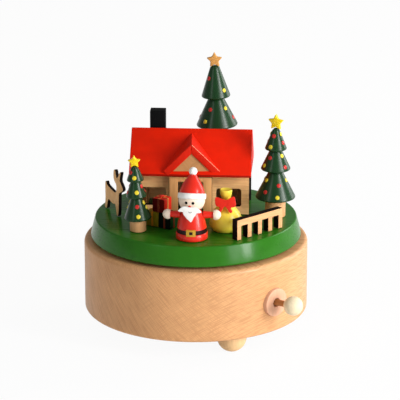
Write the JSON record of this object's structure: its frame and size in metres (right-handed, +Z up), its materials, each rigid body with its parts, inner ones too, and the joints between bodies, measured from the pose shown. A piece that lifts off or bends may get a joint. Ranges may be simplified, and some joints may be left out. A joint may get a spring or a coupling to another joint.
{
  "type": "turntable music box",
  "caption": "Round beech music box on ball feet: a spring movement turns a painted Christmas village and plays a tune until a push-pull knob stops it.",
  "frame": {"origin": "on the turntable's axis, level with the flat soles of the feet", "axes": "+Z up along the turntable's axis, -Y the way the cottage's front looks at rest, +X the cottage's right seen from its front"},
  "size_m": [0.11, 0.11, 0.1284],
  "materials": {
    "beech": "clear satin lacquer over turned beech, fine darker flecks",
    "pale_beech": "pale turned wood, satin",
    "pink_beech": "unpainted pinkish wood, matt",
    "plywood": "unpainted plywood, cut edges scorched dark by the laser",
    "hardboard": "pressed board, matt",
    "meadow_green": "satin green paint on wood",
    "fir_green": "gloss dark green paint on wood",
    "roof_red": "matt red paint on wood",
    "coat_red": "gloss red paint on wood",
    "chimney_black": "matt black paint on wood",
    "cream": "cream paint on wood",
    "white": "white paint on wood",
    "yellow": "gloss yellow paint on wood",
    "star_yellow": "gloss yellow paint on wood",
    "olive_yellow": "olive yellow paint on wood",
    "bottle_green": "dark green paint on wood",
    "zinc": "die-cast zinc alloy, dull",
    "steel": "bright steel",
    "brass": "machined brass"
  },
  "bodies": {
    "base": {"base_shell": "beech", "bottom_cover": "hardboard", "foot_front_right": "pale_beech", "foot_back": "pale_beech", "foot_left": "pale_beech", "knob_washer": "pink_beech", "cover_screw_1": "steel", "cover_screw_2": "steel", "cover_screw_3": "steel", "bedplate": "zinc", "spring_housing": "zinc", "mainspring": "steel", "comb": "steel", "comb_screw_1": "steel", "comb_screw_2": "steel", "movement_screw_1": "steel", "movement_screw_2": "steel", "governor_bracket": "brass"},
    "turntable_body": {"turntable": "meadow_green", "turntable_flange": "steel", "winding_arbor": "steel", "main_wheel": "brass", "house_front_wall": "plywood", "house_back_wall": "plywood", "house_left_wall": "plywood", "house_right_wall": "plywood", "house_porch": "plywood", "house_roof": "roof_red", "dormer_roof_left": "roof_red", "dormer_roof_right": "roof_red", "dormer_gable": "plywood", "chimney": "chimney_black", "tall_tree_trunk": "beech", "tall_tree_crown": "fir_green", "tall_tree_star": "plywood", "right_tree_trunk": "beech", "right_tree_crown": "fir_green", "right_tree_star": "star_yellow", "left_tree_trunk": "beech", "left_tree_crown": "fir_green", "left_tree_star": "star_yellow", "reindeer": "plywood", "fence": "plywood", "present_green": "bottle_green", "present_yellow": "olive_yellow", "present_red": "coat_red", "figure_body": "coat_red", "figure_head": "cream", "figure_hat": "coat_red", "figure_arm_left": "coat_red", "figure_arm_right": "coat_red", "figure_beard": "white", "sack": "yellow", "sack_bow": "coat_red"},
    "cylinder": {"music_cylinder": "brass", "cylinder_shaft": "steel"},
    "governor": {"governor_wheel": "brass"},
    "fly": {"governor_fly": "steel"},
    "stop_knob": {"knob_rod": "pink_beech", "knob_ball": "pale_beech"}
  },
  "joints": [
    {"name": "turntable_spin", "type": "hinge", "parent": "base", "child": "turntable_body", "pos_m": [0, 0, 0.04687], "axis": [0, 0, 1], "continuous": true},
    {"name": "cylinder_turn", "type": "hinge", "parent": "base", "child": "cylinder", "pos_m": [0.02362, -0.00756, 0.02637], "axis": [0.9525, -0.3047, 0], "continuous": true},
    {"name": "governor_turn", "type": "hinge", "parent": "base", "child": "governor", "pos_m": [0.02391, -0.01716, 0.0306], "axis": [0.9525, -0.3047, 0], "continuous": true},
    {"name": "fly_spin", "type": "hinge", "parent": "base", "child": "fly", "pos_m": [0.02264, -0.02111, 0.02457], "axis": [0, 0, 1], "continuous": true},
    {"name": "knob_slide", "type": "slide", "parent": "base", "child": "stop_knob", "axis": [0.7273, -0.6783, 0.1045], "range_m": [-0.0047, 0]}
  ],
  "couplings": [
    {"joint": "cylinder_turn", "follows": "turntable_spin", "ratio": 4},
    {"joint": "governor_turn", "follows": "turntable_spin", "ratio": -16},
    {"joint": "fly_spin", "follows": "turntable_spin", "ratio": 160}
  ]
}
